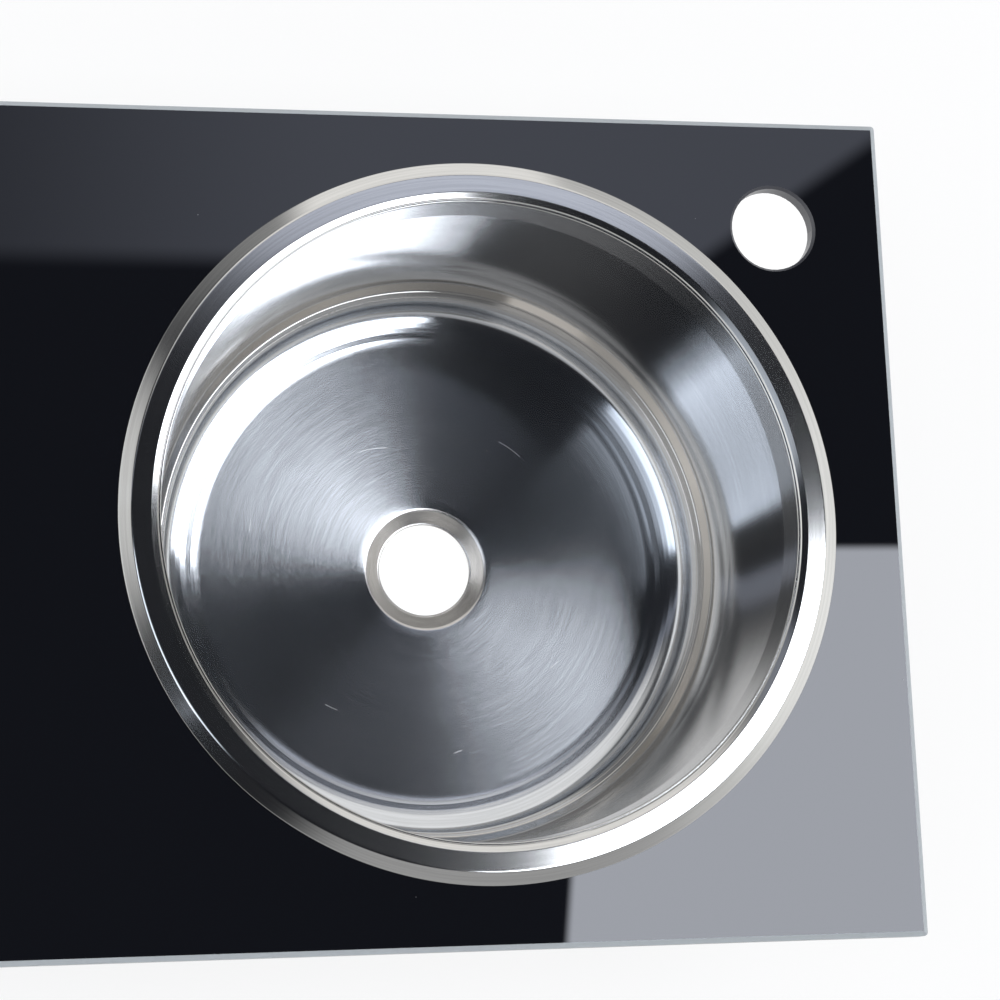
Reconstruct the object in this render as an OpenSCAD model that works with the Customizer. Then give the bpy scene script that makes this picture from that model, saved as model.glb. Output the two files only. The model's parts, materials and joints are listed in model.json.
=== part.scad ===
// Hob and sink combination unit: one dark glass plate with a round steel bowl and two gas burners.
// Origin: centre of the plate at worktop level. X runs right, Y runs to the rear, Z up. Millimetres.

/* [Glass plate] */
// Width of the glass plate, left to right
glass_w = 860; // [850:5:900]
// Depth of the glass plate, front to rear
glass_d = 370; // [366:1:384]
// Thickness of the toughened glass
glass_t = 8; // [6:1:10]
// Radius of the plate's four corners
glass_corner_r = 2; // [1:0.5:6]
// Width of the ground bevel along the upper edges
bevel_w = 2.2; // [1:0.2:3]
// Depth of that ground bevel
bevel_h = 1.2; // [0.6:0.2:2]
// Thickness of the foam seal between glass and worktop
seal_t = 2; // [1.5:0.5:4]
// Width of the foam seal
seal_w = 10; // [8:1:12]
// Distance from the plate's edge in to the seal
seal_inset = 4; // [3:1:6]
// Thickness of the worktop that the clamps are set for
worktop_t = 30; // [20:1:40]

/* [Sink bowl] */
// Distance from the plate's right edge to the bowl's centre
sink_from_right = 191; // [185:1:200]
// Distance from the plate's rear edge to the bowl's centre
sink_from_rear = 183; // [181:1:187]
// Outer diameter of the rim
rim_d = 320; // [310:1:328]
// Height of the rim's crown above the glass
rim_crown = 2.8; // [2.4:0.2:4]
// Diameter of the bowl's mouth at the lip
mouth_d = 283; // [270:1:286]
// Depth of the shallow ring groove inside the rim
rim_groove = 0.6; // [0.3:0.1:0.8]
// Thickness of the spun steel sheet
steel_t = 0.8; // [0.6:0.1:1.2]
// Depth of the smooth wall below the glass
wall_depth = 105; // [90:1:115]
// Inward lean of the wall over that depth
wall_lean = 7.2; // [4:0.2:10]
// Inward width of the upper turned step under the wall
upper_step_w = 3.9; // [3:0.1:6]
// Drop of the upper turned step
upper_step_h = 3.8; // [3:0.2:6]
// Inward width of the lower turned step
lower_step_w = 2.5; // [1.5:0.1:5]
// Drop of the lower turned step
lower_step_h = 7.8; // [5:0.2:9]
// Drop from the lower step to the floor, with the curve between them
floor_drop = 15.4; // [12.4:0.5:18.4]
// Fall of the floor towards the waste
floor_fall = 3; // [1:0.5:5]
// Diameter of the waste hole
waste_d = 44; // [40:0.5:50]
// Diameter of the sunk seat around the waste hole
waste_seat_d = 58; // [54:1:66]
// Depth of the sunk seat
waste_seat_h = 3.5; // [2:0.5:5]
// Clearance between the bowl and the cut-out in the glass
cutout_gap = 2.2; // [1.5:0.1:3]

/* [Tap hole] */
// Diameter of the tap hole
tap_d = 38; // [32:0.5:42]
// Distance from the plate's right edge to the tap hole's centre
tap_from_right = 52; // [48:1:56]
// Distance from the plate's rear edge to the tap hole's centre
tap_from_rear = 50; // [46:1:54]
// Ground chamfer at the tap hole's mouth
tap_chamfer = 1.2; // [0.6:0.2:2]

/* [Burners] */
// Distance from the plate's left edge to the large burner
large_from_left = 115; // [112:1:120]
// Distance from the plate's left edge to the small burner
small_from_left = 325; // [320:1:330]
// Distance from the plate's rear edge to the burners' line
burner_from_rear = 150; // [145:1:155]
// Diameter of the large burner's head
large_head_d = 72; // [68:1:76]
// Diameter of the small burner's head
small_head_d = 54; // [50:1:58]
// Number of flame ports round the large head
large_ports = 24; // [18:1:28]
// Number of flame ports round the small head
small_ports = 18; // [14:1:20]
// Width of a flame port
port_w = 1.8; // [1.4:0.1:2.2]
// Height of a flame port
port_h = 5; // [3:0.5:6]
// Height of the burner head above its cup
head_h = 12; // [10:0.5:16]
// Height of the enamelled cap at its crown
cap_h = 5.5; // [4:0.5:7]
// Height that the cup's rim stands above the glass
cup_rise = 3; // [2:0.5:5]
// Depth of the cup's foot below the glass surface
cup_drop = 21; // [20:0.5:24]
// Length of the gas holder below the cup's foot
holder_len = 31; // [28:1:34]

/* [Pan supports] */
// Width of the large pan support, left to right
large_support_w = 204; // [196:1:206]
// Width of the small pan support, left to right
small_support_w = 196; // [188:1:204]
// Depth of both pan supports, front to rear
support_d = 216; // [206:1:224]
// Height of the pan plane above the glass
pan_plane_h = 40; // [36:1:46]
// Thickness of the support's bars
bar_w = 7; // [6:0.5:9]
// Gap from the burner head out to the finger tips
tip_gap = 9; // [7:0.5:14]
// Height of the rubber feet
foot_h = 4; // [3:0.5:6]

/* [Gas controls] */
// Distance from the plate's front edge to the knobs' line
knob_from_front = 60; // [54:1:62]
// Diameter of the knobs
knob_d = 40; // [36:1:44]
// Height of the knobs
knob_h = 19; // [16:1:24]
// Travel of a knob when it is pushed in
push_travel = 4.5; // [3:0.5:5]
// Diameter of the knob stems
stem_d = 8; // [7:0.5:9]
// Length of the return springs at rest
spring_len = 10.5; // [9.5:0.5:13]
// Wire thickness of the return springs
spring_wire = 1; // [0.8:0.1:1.2]
// Side length of the valve bodies
valve_w = 26; // [24:1:30]
// Height of the valve bodies
valve_h = 24; // [20:1:26]
// Outer diameter of the gas rail
rail_d = 14; // [12:0.5:16]
// Outer diameter of the burner feed pipes
feed_d = 6; // [5:0.5:7]
// Outer diameter of the gas inlet pipe
inlet_d = 8; // [6:0.5:10]
// Length of the inlet stub below the casing
inlet_stub = 30; // [25:1:45]

/* [Hob casing] */
// Outer width of the casing under the hob, without its flange
casing_w = 415; // [410:1:425]
// Depth of the pressed casing, from flange to floor
casing_h = 55; // [55:1:66]
// Thickness of the casing's steel sheet
casing_t = 1; // [0.8:0.1:1.4]
// Radius of the casing's corners and bottom edges
casing_r = 10; // [6:1:14]
// Width of the casing's flange
flange_w = 12; // [10:1:14]
// Thickness of the bonding bead between casing and glass
bond_t = 1; // [0.5:0.1:1.5]
// Length of the vent slots
vent_len = 26; // [20:1:30]
// Width of the vent slots
vent_w = 3; // [2:0.5:3.5]

/* [Hidden] */
$fn = 72;

// Overlap that makes a cut or a joined shape run past its face
eps = 0.02;
// Clearance of parts that drop into each other
fit = 0.4;
// Radial clearance of the stems and pins in their bores
run_fit = 0.06;

// Levels
deck_z = seal_t + glass_t;
casing_top_z = seal_t - bond_t;
floor_z = casing_top_z - casing_h + casing_t;
foot_z = deck_z - cup_drop;
rim_z = deck_z + cup_rise;
head_top_z = rim_z + head_h;

// Places on the plate
sink_x = glass_w / 2 - sink_from_right;
sink_y = glass_d / 2 - sink_from_rear;
tap_x = glass_w / 2 - tap_from_right;
tap_y = glass_d / 2 - tap_from_rear;
large_x = large_from_left - glass_w / 2;
small_x = small_from_left - glass_w / 2;
burner_y = glass_d / 2 - burner_from_rear;
knob_y = knob_from_front - glass_d / 2;

// Casing, set in from the seal by a small margin
flange_margin = 4;
casing_x0 = seal_inset + seal_w + flange_margin + flange_w - glass_w / 2;
casing_x1 = casing_x0 + casing_w;
casing_cx = (casing_x0 + casing_x1) / 2;
casing_d = glass_d - 2 * (seal_inset + seal_w + flange_margin + flange_w);

// Bowl
rim_r = rim_d / 2;
mouth_r = mouth_d / 2;
wall_foot_r = mouth_r - 0.6 - wall_lean;
floor_r = wall_foot_r - upper_step_w - lower_step_w;
floor_z0 = wall_depth + upper_step_h + lower_step_h + floor_drop;
sweep_w = 9.3;
sweep_h = 3.3;
cutout_r = mouth_r + 2 + steel_t + cutout_gap;
gasket_t = rim_crown - steel_t;
rim_slope_w = 6.4;

// Burners
cup_wall = 2;
head_over_cup = 6;
pin_gap = 3.2;
pin_r = 2.2;
spark_angle = 65;
probe_angle = 115;
shoulder_w = 4;
bridge_t = 1.5;
bridge_span = 90;
bridge_d = 40;
bridge_foot = 13;
throat_r = 13;
lug_x = 30;
lug_h = 4;
ear_z = deck_z - 12;
ear_t = 3.5;
spark_bottom_z = ear_z - 13;
probe_bottom_z = ear_z - 11;
port_z = foot_z - holder_len + 6;
port_reach = 22;

// Valves and pipes
bonnet_t = 1.5;
collar_h = 1.5;
collar_r = stem_d / 2 + 2.2;
collar_z = seal_t;
bonnet_top_z = collar_z - spring_len;
valve_top_z = bonnet_top_z - bonnet_t;
valve_bot_z = valve_top_z - valve_h;
boss_h = 3;
bonnet_screw_x = valve_w / 2 - 3.6;
rail_z = valve_bot_z - boss_h - rail_d / 2;
outlet_z = valve_top_z - valve_h * 0.42;
outlet_len = 6;
magnet_z = outlet_z - 2;
magnet_len = 12;
stem_depth = 9;
pin_len = 10;
grommet_r = collar_r + 0.6;
grommet_wall = 1.6;
grommet_lip = 1.2;
stem_hole_r = grommet_r + grommet_wall;
knob_z = deck_z + grommet_lip + push_travel + 1;
nut_af = 12;
inlet_run = 27;
bridge_end_x = small_x + bridge_span / 2 + bridge_foot;
inlet_x = (bridge_end_x + casing_x1) / 2 - 1;
inlet_y = burner_y + 76;
rail_x0 = large_x - 28;
rail_x1 = inlet_x - inlet_run;

// Pieces held by the casing
module_w = 62;
module_d = 34;
module_h = 24;
module_ear_r = 6;
module_ear_t = 3;
socket_pitch = 14;
socket_h = 4;
socket_y = 6 - module_d / 2;
module_x = (large_x + small_x) / 2;
module_y = burner_y + 60;
screw_r = 2;

function unit(v) = v / norm(v);
function reversed(list) = [for (i = [len(list) - 1:-1:0]) list[i]];

// Point list of a line through corners [x, y, r], each rounded with an arc of radius r
function corner_arc(a, b, c, r, n) =
    let (u = unit(a - b), v = unit(c - b), half = acos(max(-1, min(1, u * v))) / 2)
    r <= 0 || half > 89.9 ? [b] :
    let (m = b + unit(u + v) * r / sin(half), from = b + u * r / tan(half), to = b + v * r / tan(half),
        a0 = atan2(from[1] - m[1], from[0] - m[0]), a1 = atan2(to[1] - m[1], to[0] - m[0]),
        turn = a1 - a0 > 180 ? a1 - a0 - 360 : a1 - a0 < -180 ? a1 - a0 + 360 : a1 - a0)
    [for (i = [0:n]) m + r * [cos(a0 + turn * i / n), sin(a0 + turn * i / n)]];
function rounded_line(p, n = 5) = [for (i = [0:len(p) - 1])
    each i == 0 || i == len(p) - 1 ? [[p[i][0], p[i][1]]] :
        corner_arc([p[i - 1][0], p[i - 1][1]], [p[i][0], p[i][1]], [p[i + 1][0], p[i + 1][1]], p[i][2], n)];

// The same line moved sideways by t, with mitred corners
function left_of(p, q) = let (d = unit(q - p)) [-d[1], d[0]];
function moved_line(p, t) = let (last = len(p) - 1) [for (i = [0:last])
    let (n1 = left_of(p[max(i - 1, 0)], p[max(i, 1)]),
        n2 = left_of(p[min(i, last - 1)], p[min(i + 1, last)]))
    p[i] + t * (n1 + n2) / (1 + n1 * n2)];

module sheet_profile(line, t) {
    polygon(concat(line, reversed(moved_line(line, t))));
}

module rounded_rect(w, d, r) {
    square([w - 2 * r, d], center = true);
    square([w, d - 2 * r], center = true);
    for (x = [-1, 1], y = [-1, 1]) {
        translate([x * (w / 2 - r), y * (d / 2 - r)]) circle(r);
    }
}

module frame_rect(w, d, r, bar) {
    difference() {
        rounded_rect(w, d, r);
        rounded_rect(w - 2 * bar, d - 2 * bar, max(r - bar, 0.5));
    }
}

// Block with round vertical corners and round bottom edges, open face up
module tray_block(w, d, h, r) {
    translate([0, 0, r]) linear_extrude(h - r) rounded_rect(w, d, r);
    translate([r - w / 2, r - d / 2, 0]) cube([w - 2 * r, d - 2 * r, r + eps]);
    for (y = [-1, 1]) {
        translate([0, y * (d / 2 - r), r]) rotate([0, 90, 0]) cylinder(h = w - 2 * r, r = r, center = true);
    }
    for (x = [-1, 1]) {
        translate([x * (w / 2 - r), 0, r]) rotate([90, 0, 0]) cylinder(h = d - 2 * r, r = r, center = true);
    }
    for (x = [-1, 1], y = [-1, 1]) {
        translate([x * (w / 2 - r), y * (d / 2 - r), r]) sphere(r);
    }
}

// Round rod between two points
module rod(p, q, r) {
    v = q - p;
    translate(p) rotate([0, acos(v[2] / norm(v)), atan2(v[1], v[0])]) cylinder(h = norm(v), r = r, $fn = 24);
}

// Solid pipe through points whose legs are square to each other, with round bends
module square_bent_pipe(p, r, bend) {
    last = len(p) - 1;
    for (i = [0:last - 1]) {
        d = unit(p[i + 1] - p[i]);
        rod(p[i] + d * (i == 0 ? 0 : bend), p[i + 1] - d * (i + 1 == last ? 0 : bend), r);
    }
    for (i = [1:last - 1]) {
        u = unit(p[i] - p[i - 1]);
        w = unit(p[i + 1] - p[i]);
        c = p[i] + (w - u) * bend;
        z = cross(-w, u);
        multmatrix([for (k = [0:3]) k == 3 ? [0, 0, 0, 1] : [-w[k], u[k], z[k], c[k]]])
            rotate_extrude(angle = 90, $fn = 48) translate([bend, 0]) circle(r, $fn = 24);
    }
}

// Points of a line in space with its corners rounded to radius bend
function space_corner(a, b, c, bend, n) =
    let (u = unit(b - a), v = unit(c - b), turn = acos(max(-1, min(1, u * v))))
    turn < 1 ? [b] :
    let (w = unit(v - u * (u * v)), m = b - u * bend * tan(turn / 2) + w * bend)
    [for (i = [0:n]) m + bend * (u * sin(turn * i / n) - w * cos(turn * i / n))];
function space_line(p, bend, n = 5) = [for (i = [0:len(p) - 1])
    each i == 0 || i == len(p) - 1 ? [p[i]] : space_corner(p[i - 1], p[i], p[i + 1], bend, n)];

// Normals carried along a line with as little twist as possible
function carried(t, i, sofar) = i == len(t) ? sofar :
    let (last = sofar[len(sofar) - 1]) carried(t, i + 1, concat(sofar, [unit(last - t[i] * (last * t[i]))]));

// Thin bent tube swept along a line with round bends
module swept_tube(p, r, bend, sides = 8) {
    line = space_line(p, bend);
    last = len(line) - 1;
    t = [for (i = [0:last]) unit(line[min(i + 1, last)] - line[max(i - 1, 0)])];
    seed = abs(t[0][0]) < 0.9 ? [1, 0, 0] : [0, 1, 0];
    normals = carried(t, 1, [unit(seed - t[0] * (seed * t[0]))]);
    points = [for (i = [0:last]) for (j = [0:sides - 1])
        line[i] + r * (cos(360 * j / sides) * normals[i] + sin(360 * j / sides) * cross(t[i], normals[i]))];
    faces = concat([[for (j = [sides - 1:-1:0]) j]], [[for (j = [0:sides - 1]) last * sides + j]],
        [for (i = [0:last - 1]) for (j = [0:sides - 1]) for (k = [0, 1])
            let (a = i * sides + j, b = i * sides + (j + 1) % sides)
            k == 0 ? [a, b, a + sides] : [b, b + sides, a + sides]]);
    polyhedron(points = points, faces = [for (f = faces) reversed(f)], convexity = 6);
}

// Pan-head screw along -Z with its head on z = 0
module screw(len, r = screw_r) {
    difference() {
        rotate_extrude($fn = 32)
            polygon(concat([[0, -len], [r - 0.4, -len], [r, -len + 0.6], [r, 0], [2 * r, 0]],
                [for (a = [0:15:90]) [r + r * cos(a), 0.4 * r + 0.8 * r * sin(a)]], [[0, 1.2 * r]]));
        for (a = [0, 90]) {
            rotate([0, 0, a]) translate([0, 0, 1.2 * r]) cube([2.2 * r, 0.5 * r, 1.2 * r], center = true);
        }
    }
}

// Values of one burner, chosen by size
function head_r(large) = (large ? large_head_d : small_head_d) / 2;
function cup_r(large) = head_r(large) - head_over_cup;
function place_x(large) = large ? large_x : small_x;
function pin_at(large, a) = (head_r(large) + pin_gap) * [cos(a), sin(a)];
function glass_hole_r(large) = head_r(large) + pin_gap + pin_r + 1;

module at_burner(large) {
    translate([place_x(large), burner_y, 0]) children();
}

module at_knob(large) {
    translate([place_x(large), knob_y, 0]) children();
}

module both() {
    for (large = [true, false]) {
        $large = large;
        children();
    }
}

// Cut along a plate edge that lies on the X axis at the deck, plate towards -Y
module edge_bevel(len) {
    k = bevel_h / bevel_w;
    rotate([90, 0, 90]) translate([0, 0, -len / 2]) linear_extrude(len)
        polygon([[-bevel_w - 1, k], [1, -bevel_h - k], [1, k]]);
}

module glass_top() {
    color([0.07, 0.08, 0.1]) difference() {
        translate([0, 0, seal_t]) linear_extrude(glass_t) rounded_rect(glass_w, glass_d, glass_corner_r);
        for (s = [0, 180]) {
            rotate([0, 0, s]) translate([0, glass_d / 2, deck_z]) edge_bevel(glass_w + 4);
            rotate([0, 0, s + 90]) translate([0, glass_w / 2, deck_z]) edge_bevel(glass_d + 4);
        }
        translate([sink_x, sink_y, seal_t - 1]) cylinder(h = glass_t + 2, r = cutout_r, $fn = 120);
        translate([tap_x, tap_y, seal_t - 1]) cylinder(h = glass_t + 2, r = tap_d / 2);
        translate([tap_x, tap_y, deck_z - tap_chamfer])
            cylinder(h = tap_chamfer + 1, r1 = tap_d / 2, r2 = tap_d / 2 + tap_chamfer + 1);
        both() {
            at_burner($large) translate([0, 0, seal_t - 1])
                cylinder(h = glass_t + 2, r = glass_hole_r($large));
            at_knob($large) translate([0, 0, seal_t - 1]) cylinder(h = glass_t + 2, r = stem_hole_r);
        }
    }
}

module edge_seal() {
    color([0.16, 0.16, 0.17]) linear_extrude(seal_t)
        frame_rect(glass_w - 2 * seal_inset, glass_d - 2 * seal_inset, 6, seal_w);
}

// Upper and inner surface of the spun bowl, from the rim's edge to the waste hole.
// Each corner is [radius, height, rounding].
bowl_line = rounded_line([
    [rim_r, 0, 0],
    [rim_r, 0.5 * rim_crown, 1.2],
    [rim_r - rim_slope_w, rim_crown, 3],
    [mouth_r + 4.4, rim_crown, 0.8],
    [mouth_r + 3.2, rim_crown - rim_groove, 0.7],
    [mouth_r + 2, rim_crown, 0.6],
    [mouth_r + 0.2, rim_crown - 0.1, 1.5],
    [mouth_r - 1.3, -14, 30],
    [wall_foot_r, -wall_depth, 2],
    [wall_foot_r - upper_step_w, -wall_depth - upper_step_h, 1.5],
    [floor_r, -wall_depth - upper_step_h - lower_step_h, 0],
    [floor_r, sweep_h - floor_z0, 6.2],
    [floor_r - sweep_w, -floor_z0 - 0.2, 31],
    [waste_seat_d / 2, -floor_z0 - floor_fall, 4],
    [waste_d / 2 + 0.8, -floor_z0 - floor_fall - waste_seat_h, 0.8],
    [waste_d / 2, -floor_z0 - floor_fall - waste_seat_h, 0]]);

module sink_bowl() {
    color([0.78, 0.78, 0.78]) translate([sink_x, sink_y, deck_z]) rotate_extrude($fn = 144)
        sheet_profile(bowl_line, steel_t);
}

module sink_gasket() {
    color([0.2, 0.2, 0.2]) translate([sink_x, sink_y, deck_z]) difference() {
        cylinder(h = gasket_t, r = rim_r - rim_slope_w - 1.2, $fn = 120);
        translate([0, 0, -1]) cylinder(h = gasket_t + 2, r = cutout_r + 0.5, $fn = 120);
    }
}

// Places of the rivets that hold the bridges, and of the screws of the clamps and the spark module
function rivet_points(large) = [for (x = [-1, 1], y = [-1, 1])
    [place_x(large) + x * (bridge_span / 2 + 7), burner_y + y * bridge_d * 0.3]];
clamp_xs = [casing_x0 + 60, casing_x1 - 60];
clamp_screw_z = casing_top_z - 17;
module_points = [for (x = [-1, 1]) [module_x + x * (module_w / 2 + module_ear_r), module_y]];

// Stiffening ribs pressed up into the casing floor
rib_w = 10;
rib_h = 2;
rib_len = casing_d * 0.45;
rib_xs = [casing_x0 + 18, module_x, small_x + 92];
module ribs(w, len) {
    for (x = rib_xs) {
        translate([x, -casing_d * 0.12, floor_z - casing_t]) linear_extrude(casing_t + rib_h)
            rounded_rect(w, len, w / 2 - 0.05);
    }
}

// Casing pressed from sheet: flange, walls, ribbed floor and a row of vents in the rear wall
module hob_casing() {
    vent_n = 9;
    color([0.62, 0.63, 0.65]) difference() {
        translate([casing_cx, 0, casing_top_z - casing_h]) difference() {
            union() {
                tray_block(casing_w, casing_d, casing_h, casing_r);
                translate([0, 0, casing_h - casing_t]) linear_extrude(casing_t)
                    rounded_rect(casing_w + 2 * flange_w, casing_d + 2 * flange_w, casing_r + 4);
            }
            translate([0, 0, casing_t]) difference() {
                tray_block(casing_w - 2 * casing_t, casing_d - 2 * casing_t, casing_h + 1,
                    casing_r - casing_t);
                translate([-casing_cx, 0, -floor_z]) ribs(rib_w, rib_len);
            }
        }
        translate([0, 0, -casing_t]) ribs(rib_w - 2 * casing_t, rib_len - 2 * casing_t);
        for (i = [0:vent_n - 1]) {
            translate([casing_cx + (i - (vent_n - 1) / 2) * vent_len * 1.3, casing_d / 2, casing_top_z - 16])
                rotate([90, 0, 0]) linear_extrude(30, center = true)
                    rounded_rect(vent_len, vent_w, vent_w / 2 - 0.05);
        }
        both() {
            for (p = rivet_points($large)) {
                translate([p[0], p[1], floor_z - 3]) cylinder(h = 5, r = screw_r, $fn = 24);
            }
        }
        for (p = module_points) {
            translate([p[0], p[1], floor_z - 3]) cylinder(h = 5, r = screw_r, $fn = 24);
        }
        for (x = clamp_xs, s = [-1, 1]) {
            translate([x, s * casing_d / 2, clamp_screw_z]) rotate([90, 0, 0])
                cylinder(h = 10, r = screw_r + 0.1, center = true, $fn = 24);
        }
        translate([inlet_x, inlet_y, floor_z - 3]) cylinder(h = 6, r = inlet_d / 2 + 1, $fn = 32);
    }
}

module casing_bond() {
    color([0.85, 0.85, 0.83]) translate([casing_cx, 0, casing_top_z]) linear_extrude(bond_t)
        frame_rect(casing_w + 2 * flange_w - 4, casing_d + 2 * flange_w - 4, casing_r, flange_w - 4);
}

// Bent clamp: a plate on the casing wall and a tongue that reaches under the worktop
clamp_t = 1.5;
clamp_r = 10;
module worktop_clamps() {
    reach = glass_d / 2 - casing_d / 2 - 3;
    color([0.7, 0.7, 0.72]) for (x = clamp_xs, s = [0, 180]) {
        translate([x, 0, 0]) rotate([0, 0, s]) translate([0, casing_d / 2, 0]) difference() {
            union() {
                translate([-clamp_r, 0, -worktop_t - clamp_t])
                    cube([2 * clamp_r, clamp_t, worktop_t + clamp_t + clamp_screw_z + 8]);
                translate([-clamp_r, 0, -worktop_t - clamp_t]) cube([2 * clamp_r, reach - 8, clamp_t]);
                translate([0, reach - 8, -worktop_t - clamp_t]) cylinder(h = clamp_t, r = clamp_r, $fn = 48);
            }
            translate([0, 0, clamp_screw_z]) rotate([90, 0, 0])
                cylinder(h = 10, r = screw_r + 0.2, center = true, $fn = 24);
        }
    }
}

module clamp_screws() {
    color([0.75, 0.75, 0.76]) for (x = clamp_xs, s = [0, 180]) {
        translate([x, 0, 0]) rotate([0, 0, s])
            translate([0, casing_d / 2 + clamp_t, clamp_screw_z]) rotate([-90, 0, 0]) screw(9);
    }
}

// Hat-shaped bracket that carries a burner cup over the casing floor
module bridge(large) {
    h = foot_z - floor_z;
    line = rounded_line([[-bridge_span / 2 - bridge_foot, bridge_t, 0], [-bridge_span / 2, bridge_t, 2.5],
        [-bridge_span / 2, h, 3], [bridge_span / 2, h, 3], [bridge_span / 2, bridge_t, 2.5],
        [bridge_span / 2 + bridge_foot, bridge_t, 0]], 4);
    color([0.66, 0.67, 0.7]) difference() {
        translate([place_x(large), burner_y + bridge_d / 2, floor_z]) rotate([90, 0, 0])
            linear_extrude(bridge_d) sheet_profile(line, -bridge_t);
        at_burner(large) {
            translate([0, 0, foot_z - 5]) cylinder(h = 10, r = throat_r + 1);
            for (s = [-1, 1]) {
                translate([s * lug_x, 0, foot_z - 5]) cylinder(h = 10, r = screw_r + 0.1, $fn = 24);
            }
        }
        for (p = rivet_points(large)) {
            translate([p[0], p[1], floor_z - 1]) cylinder(h = 5, r = screw_r, $fn = 24);
        }
    }
}

module bridge_large() {
    bridge(true);
}

module bridge_small() {
    bridge(false);
}

module bridge_rivets() {
    color([0.72, 0.72, 0.74]) both() {
        for (p = rivet_points($large)) {
            translate([p[0], p[1], floor_z]) {
                translate([0, 0, bridge_t]) cylinder(h = 1, r = 3.2, $fn = 32);
                translate([0, 0, -casing_t - 0.6]) cylinder(h = 0.6, r = 3.2, $fn = 32);
                translate([0, 0, -casing_t - 0.3])
                    cylinder(h = casing_t + bridge_t + 0.6, r = screw_r - 0.1, $fn = 32);
            }
        }
    }
}

// Cast cup: mixing chamber with rim, throat with air windows, gas holder, side port, lugs and two ears
module burner_cup(large) {
    r = cup_r(large);
    holder_z = foot_z - holder_len;
    throat_z = foot_z - 19;
    color([0.72, 0.72, 0.7]) at_burner(large) difference() {
        union() {
            rotate_extrude() polygon([[0, holder_z], [11, holder_z], [11, throat_z], [throat_r, throat_z],
                [throat_r, foot_z], [17, foot_z], [17, foot_z + lug_h + 1], [r, ear_z], [r, deck_z - 7],
                [r + shoulder_w, deck_z - 5], [r + shoulder_w, deck_z], [r, deck_z], [r, rim_z],
                [r - cup_wall, rim_z], [r - cup_wall, deck_z - 9], [9, deck_z - 9], [6.5, foot_z - 7],
                [8, throat_z + 1], [4.05, throat_z + 1], [4.05, holder_z + 2], [0, holder_z + 2]]);
            for (s = [-1, 1]) {
                translate([s * lug_x, 0, foot_z]) cylinder(h = lug_h, r = 7, $fn = 40);
                translate([s * (lug_x + 14) / 2, 0, foot_z + lug_h / 2])
                    cube([lug_x - 14, 12, lug_h], center = true);
            }
            for (a = [spark_angle, probe_angle]) {
                rotate([0, 0, a]) translate([r - 1, -4, ear_z])
                    cube([head_r(large) + pin_gap - r + 1, 8, ear_t]);
                translate([each pin_at(large, a), ear_z]) cylinder(h = ear_t, r = 5, $fn = 40);
            }
            translate([0, -port_reach, port_z]) rotate([-90, 0, 0])
                cylinder(h = port_reach - 6, r = 5.4, $fn = 40);
        }
        for (a = [0, 90, 180, 270]) {
            rotate([0, 0, a + 45]) translate([throat_r - 1, 0, foot_z - 10])
                cube([14, 8, 11], center = true);
        }
        for (s = [-1, 1]) {
            translate([s * lug_x, 0, foot_z - 1]) cylinder(h = lug_h + 2, r = screw_r + 0.1, $fn = 24);
        }
        for (a = [spark_angle, probe_angle]) {
            translate([each pin_at(large, a), ear_z - 1]) cylinder(h = ear_t + 2, r = pin_r + 0.1, $fn = 32);
        }
        translate([0, -port_reach - 1, port_z]) rotate([-90, 0, 0])
            cylinder(h = port_reach - 2, r = feed_d / 2 - 0.6, $fn = 32);
    }
}

module burner_cup_large() {
    burner_cup(true);
}

module burner_cup_small() {
    burner_cup(false);
}

module cup_screws() {
    color([0.75, 0.75, 0.76]) both() {
        for (s = [-1, 1]) {
            at_burner($large) translate([s * lug_x, 0, foot_z + lug_h]) screw(lug_h + bridge_t + 3);
        }
    }
}

// Brass jet: threaded shank, hexagon and nose with a fine bore
module injector(large) {
    z = foot_z - 18;
    color([0.8, 0.63, 0.3]) at_burner(large) difference() {
        union() {
            translate([0, 0, z - 5]) cylinder(h = 5 + eps, r = 4, $fn = 40);
            translate([0, 0, z]) cylinder(h = 4, r = 5.2, $fn = 6);
            translate([0, 0, z + 4 - eps]) cylinder(h = 2, r1 = 3.6, r2 = 2.4, $fn = 40);
        }
        translate([0, 0, z - 6]) cylinder(h = 9, r = 2, $fn = 24);
        translate([0, 0, z - 6]) cylinder(h = 14, r = large ? 0.5 : 0.4, $fn = 16);
    }
}

module injector_large() {
    injector(true);
}

module injector_small() {
    injector(false);
}

// Pressed trim ring: inner edge on the cup's shoulder, outer edge on the glass, holes for the two pins
drip_w = 16;
ring_t = 0.8;
module drip_ring(large) {
    r0 = cup_r(large) + fit;
    r1 = head_r(large) + drip_w;
    line = rounded_line([[r1, 0, 0], [r1, 1.3, 0.9], [r1 - 7, 2.6, 6], [r0 + 11, 2.2, 4],
        [r0 + shoulder_w + 1, ring_t, 3], [r0, ring_t, 0]], 4);
    color([0.8, 0.8, 0.8]) at_burner(large) difference() {
        translate([0, 0, deck_z]) rotate_extrude() sheet_profile(line, ring_t);
        for (a = [spark_angle, probe_angle]) {
            translate([each pin_at(large, a), deck_z - 1]) cylinder(h = 8, r = pin_r + fit, $fn = 32);
        }
    }
}

module drip_ring_large() {
    drip_ring(true);
}

module drip_ring_small() {
    drip_ring(false);
}

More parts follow.
